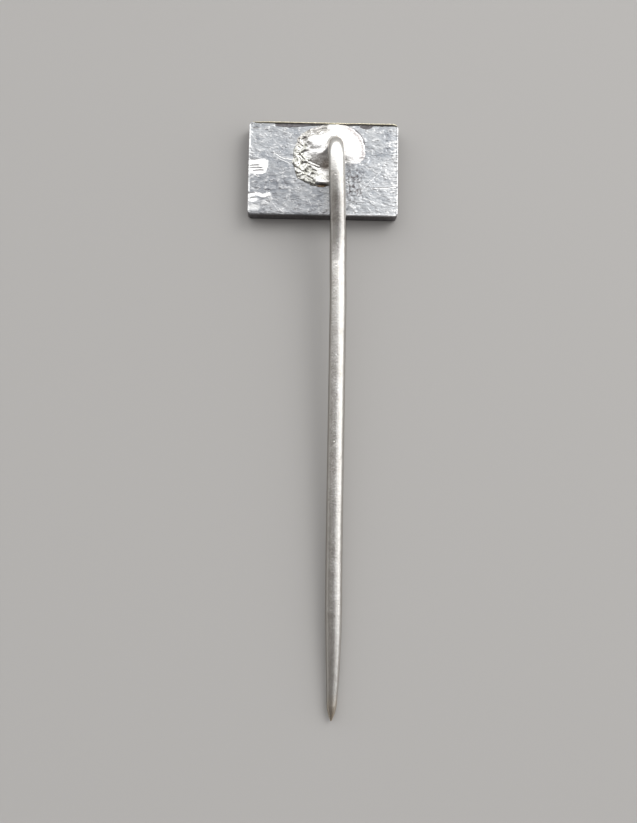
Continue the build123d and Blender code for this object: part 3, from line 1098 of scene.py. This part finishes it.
def enamel_material(name, colour):
    """Glassy enamel, a little clouded, with pale grains."""
    m = Shader(name)
    cloud = m.noise(m.stretched((0.7, 0.7, 0.7)), detail=4)
    grains = m.add("ShaderNodeTexVoronoi", {"Vector": m.stretched((5, 5, 5)), "Scale": 1}).outputs["Distance"]
    deep = tuple(c * 0.8 for c in colour)
    pale = tuple(min(1, c * 1.3 + 0.02) for c in colour)
    clouded = m.mix(m.between(cloud, 0.3, 0.7, 0.0, 1.0), deep, colour)
    specked = m.mix(m.between(grains, 0.0, 0.18, 0.35, 0.0), clouded, pale)
    m.set(Base_Color=specked, Roughness=m.between(cloud, 0.3, 0.7, 0.16, 0.24))
    m.set(Coat_Weight=0.6, Coat_Roughness=0.05)
    m.bump(m.noise(m.stretched((1.6, 1.6, 1.6)), detail=2, roughness=0.5), 0.02, 0.6)
    return m.material


def make_enamels():
    """Each fill's face lies a hair inside its cell and sinks slightly in the middle, like polished enamel."""
    materials = {slot: enamel_material(slot, colour) for slot, colour in ENAMELS.values()}
    for node, (slot, _) in ENAMELS.items():
        obj = fine_copy(node, node + "_fill", ENAMEL_VOXEL)
        co = coordinates(obj.data)
        low, high = co.min(0), co.max(0)
        from_middle = (co - (low + high) / 2) / (high - low) * 2
        middle = (1 - from_middle[:, 0] ** 2) * (1 - from_middle[:, 1] ** 2)
        waves = ENAMEL_WAVES * fractal(co[:, 0], co[:, 1], 71, 3)
        front = smooth(ENAMEL_FRONT_ZONE, 0.0, co[:, 2])
        co[:, 2] += front * (ENAMEL_SETBACK + ENAMEL_SINK * middle + waves)
        obj.data.vertices.foreach_set("co", (co * MM).astype(np.float32).ravel())
        obj.data.update()
        shade_smooth(obj.data)
        finish_piece(obj, slot, materials[slot], node)


# ---- camera and light

LENS_LENGTH = 52.5
SENSOR = 36.0
CLIP_START, CLIP_END = 1 * MM, 5.0
DISTANCE = 92.9
LEAN, TILT, ROLL = 6.807, -0.864, 0.907
AIM_SHIFT = Vector((-0.078, 0.13, -0.34))

# The soft box, whose azimuth is 0 at +X and 90 at +Y. It is aimed at the pin, this far from the foot
KEY_AZIMUTH, KEY_ELEVATION = 48, 42
KEY_DISTANCE, KEY_SIZE = 300, 150
KEY_POWER = 0.26
KEY_COLOUR = (1.0, 0.99, 0.97)
KEY_AIM = 18

# The sky's brightness by how far a direction leans towards the one named, from -1 to 1
SKY_SIDE = Vector((0.33, 0.94, 0.1))
SKY_SIDE_STOPS = [
    (-1.0, (0.068, 0.063, 0.06)),
    (-0.4, (0.145, 0.137, 0.131)),
    (-0.2, (0.225, 0.218, 0.211)),
    (-0.08, (0.285, 0.28, 0.276)),
    (0.03, (0.35, 0.35, 0.354)),
    (0.12, (0.46, 0.46, 0.466)),
    (0.17, (0.72, 0.72, 0.725)),
    (0.3, (1.0, 1.0, 1.0)),
    (1.0, (0.85, 0.85, 0.84)),
]
SKY_TOP = Vector((0.1, 0.99, 0.0))
SKY_TOP_STOPS = [
    (0.0, (0.1, 0.1, 0.102)),
    (0.045, (0.22, 0.22, 0.224)),
    (0.11, (0.76, 0.76, 0.765)),
    (0.27, (0.8, 0.8, 0.8)),
    (0.35, (1.0, 1.0, 1.0)),
    (1.0, (0.8, 0.8, 0.79)),
]
DIM_SPOT = Vector((-0.14, -0.4, 0.9))
DIM_SPOT_STOPS = [(0.8, (1, 1, 1)), (0.97, (0.68, 0.67, 0.67))]
SKY_STRENGTH = 1.7

FLOOR_HALF = 0.6
FLOOR_LEVEL = -0.01 * MM
FLOOR_COLOUR = (0.41, 0.4, 0.39)


def make_camera():
    """Looks down on the whole tack, leaning a little from the pin's point towards the plate."""
    low, high = CAD_BOX
    target = (low + high) / 2 + AIM_SHIFT * MM
    turn = Euler([math.radians(a) for a in (LEAN, TILT, ROLL)])
    data = bpy.data.cameras.new("camera")
    data.lens = LENS_LENGTH
    data.sensor_width = SENSOR
    data.clip_start, data.clip_end = CLIP_START, CLIP_END
    camera = new_object("camera", data)
    camera.rotation_euler = turn
    camera.location = target + turn.to_matrix() @ Vector((0, 0, DISTANCE * MM))
    bpy.context.scene.camera = camera


def make_key():
    """A square soft box at the upper right, which draws the soft shadows."""
    aim = Vector((FOOT[0], FOOT[1] - KEY_AIM, BACK)) * MM
    azimuth, elevation = math.radians(KEY_AZIMUTH), math.radians(KEY_ELEVATION)
    level = math.cos(elevation)
    out = Vector((math.cos(azimuth) * level, math.sin(azimuth) * level, math.sin(elevation)))
    data = bpy.data.lights.new("key", "AREA")
    data.size = KEY_SIZE * MM
    data.energy = KEY_POWER
    data.color = KEY_COLOUR
    light = new_object("key", data)
    light.location = aim + out * KEY_DISTANCE * MM
    light.rotation_euler = (-out).to_track_quat("-Z", "Y").to_euler()


def make_sky():
    """A bright wide sky at the upper right and a dim one at the lower left, for the metal to reflect."""
    world = bpy.data.worlds.new("studio")
    bpy.context.scene.world = world
    world.use_nodes = True
    sky = Nodes(world.node_tree)
    background = sky.nodes["Background"].inputs
    place = sky.add("ShaderNodeTexCoord").outputs["Generated"]

    def towards(direction, stops):
        inputs = {0: place, 1: direction.normalized()}
        lean = sky.add("ShaderNodeVectorMath", inputs, operation="DOT_PRODUCT").outputs["Value"]
        share = sky.maths("MULTIPLY_ADD", lean, 0.5, 0.5)
        return sky.ramp(share, [(position / 2 + 0.5, colour) for position, colour in stops], "EASE")

    bright = sky.mix(1, towards(SKY_SIDE, SKY_SIDE_STOPS), towards(SKY_TOP, SKY_TOP_STOPS), "LIGHTEN")
    sky.put(sky.mix(1, bright, towards(DIM_SPOT, DIM_SPOT_STOPS), "MULTIPLY"), background["Color"])
    sky.put(SKY_STRENGTH, background["Strength"])


def make_floor():
    """A plain pale floor, a hair below the plate's front."""
    mesh = bpy.data.meshes.new("floor")
    corners = [(x * FLOOR_HALF, y * FLOOR_HALF, FLOOR_LEVEL) for x, y in ((-1, -1), (1, -1), (1, 1), (-1, 1))]
    mesh.from_pydata(corners, [], [(0, 1, 2, 3)])
    floor = new_object("floor", mesh)
    shader = Shader("floor")
    shader.set(Base_Color=FLOOR_COLOUR, Roughness=0.8)
    mesh.materials.append(shader.material)


def set_colour():
    settings = bpy.context.scene.view_settings
    settings.view_transform = "Standard"
    settings.look = "None"


make_wire()
make_plate()
make_solder()
make_enamels()
make_camera()
make_key()
make_sky()
make_floor()
set_colour()
